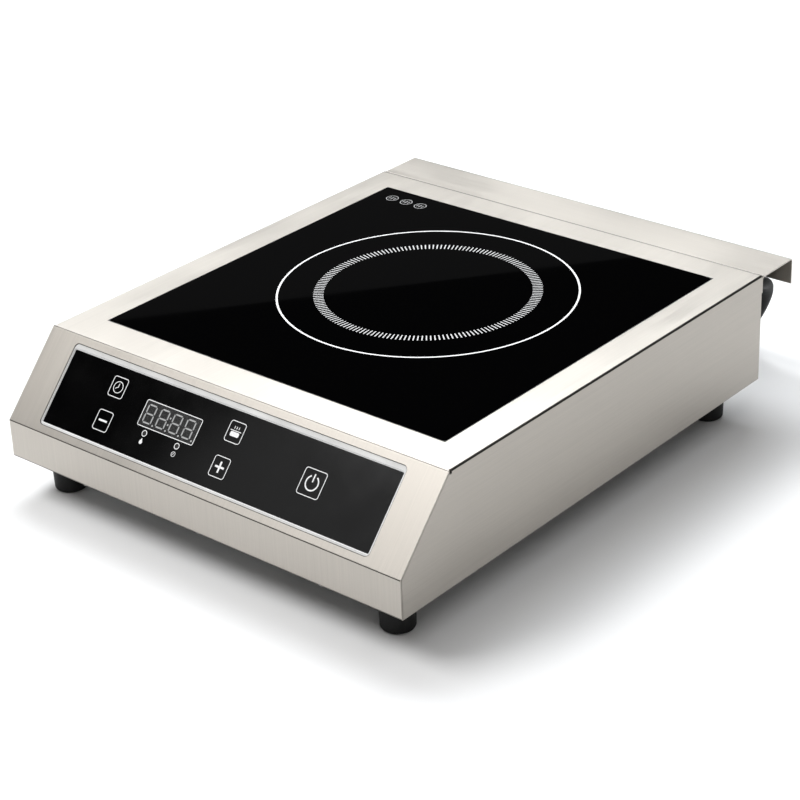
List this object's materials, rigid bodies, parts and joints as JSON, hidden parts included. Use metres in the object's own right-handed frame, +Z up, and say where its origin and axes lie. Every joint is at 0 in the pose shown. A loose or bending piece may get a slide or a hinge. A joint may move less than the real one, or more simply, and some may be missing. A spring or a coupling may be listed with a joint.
{
  "type": "countertop induction cooker",
  "caption": "Low steel countertop induction cooker with a black square glass plate, a sloping key panel at the front, rubber feet, a rear exhaust hood and a mains cord.",
  "frame": {"origin": "on the floor under the middle of the housing, cord left out", "axes": "+Z up, +X to the right seen from the front, +Y to the rear"},
  "size_m": [0.328, 0.4981, 0.102],
  "materials": {
    "aluminium": "extruded",
    "bezel_silver": "bright silver-white",
    "black_glass": "polished black glass-ceramic",
    "black_plastic": "moulded",
    "black_rubber": "moulded rubber",
    "black_silicone": "matt silicone",
    "blue_plastic": "moulded case",
    "brass": "turned",
    "brushed_steel": "fine straight brushed stainless sheet",
    "circuit_board": "solder mask",
    "copper": "enamelled copper strand",
    "cord_rubber": "smooth black cord jacket",
    "ferrite": "sintered ferrite",
    "grey_plastic": "moulded",
    "ivory_plastic": "heat-resisting moulding",
    "led_lens": "red lens",
    "mica": "pressed mica sheet",
    "panel_film": "printed polyester film, satin",
    "red_silicone": "silicone",
    "screw_steel": "bright plated steel",
    "smoked_window": "smoked window",
    "white_ceramic": "glazed ceramic",
    "wire_plastic": "wire insulation",
    "yellow_plastic": "moulded case",
    "zinc_steel": "satin zinc-plated steel"
  },
  "bodies": {
    "housing": {"top_cover": "brushed_steel", "rear_panel": "brushed_steel", "base_plate": "zinc_steel", "rear_hood": "brushed_steel", "glass_seal": "black_silicone", "ceramic_glass": "black_glass", "foot_front_left": "black_rubber", "foot_front_right": "black_rubber", "foot_rear_left": "black_rubber", "foot_rear_right": "black_rubber", "foot_screws": "screw_steel", "base_screws": "screw_steel", "hood_rivets": "screw_steel", "control_bezel": "bezel_silver", "control_film": "panel_film", "control_plate": "black_plastic", "display_window": "smoked_window", "display_module": "grey_plastic", "control_board": "circuit_board", "indicator_leds": "led_lens", "tact_switches": "grey_plastic", "control_screws": "screw_steel", "buzzer": "black_plastic", "ribbon_cable": "grey_plastic", "mica_sheet": "mica", "induction_coil": "copper", "coil_carrier": "ivory_plastic", "ferrite_bars": "ferrite", "glass_sensor": "white_ceramic", "coil_bracket_front": "zinc_steel", "coil_bracket_rear": "zinc_steel", "coil_spacers": "red_silicone", "coil_leads": "copper", "power_board": "circuit_board", "board_standoffs": "brass", "heatsink": "aluminium", "power_transistors": "black_plastic", "bridge_rectifier": "black_plastic", "resonance_capacitor": "yellow_plastic", "filter_capacitor": "blue_plastic", "filter_choke": "copper", "line_fuse": "white_ceramic", "fan_frame": "black_plastic", "fan_mounts": "black_rubber", "terminal_block": "ivory_plastic", "earth_stud": "brass", "mains_wires": "wire_plastic", "strain_relief": "black_plastic", "cord_tube": "cord_rubber", "cord_coil": "cord_rubber", "cord_tail": "cord_rubber", "cord_tie": "grey_plastic", "mains_plug": "cord_rubber"},
    "fan_rotor": {"fan_rotor": "black_plastic"},
    "key_timer": {"key_timer": "panel_film"},
    "key_minus": {"key_minus": "panel_film"},
    "key_function": {"key_function": "panel_film"},
    "key_plus": {"key_plus": "panel_film"},
    "key_power": {"key_power": "panel_film"}
  },
  "joints": [
    {"name": "fan_spin", "type": "hinge", "parent": "housing", "child": "fan_rotor", "pos_m": [-0.092, 0.0085, 0.045], "axis": [0, 0, 1], "continuous": true},
    {"name": "key_timer_press", "type": "slide", "parent": "housing", "child": "key_timer", "axis": [0, 0.739, -0.6737], "range_m": [0, 0.0004], "stiffness_N_per_m": 1500},
    {"name": "key_minus_press", "type": "slide", "parent": "housing", "child": "key_minus", "axis": [0, 0.739, -0.6737], "range_m": [0, 0.0004], "stiffness_N_per_m": 1500},
    {"name": "key_function_press", "type": "slide", "parent": "housing", "child": "key_function", "axis": [0, 0.739, -0.6737], "range_m": [0, 0.0004], "stiffness_N_per_m": 1500},
    {"name": "key_plus_press", "type": "slide", "parent": "housing", "child": "key_plus", "axis": [0, 0.739, -0.6737], "range_m": [0, 0.0004], "stiffness_N_per_m": 1500},
    {"name": "key_power_press", "type": "slide", "parent": "housing", "child": "key_power", "axis": [0, 0.739, -0.6737], "range_m": [0, 0.0004], "stiffness_N_per_m": 1500}
  ]
}
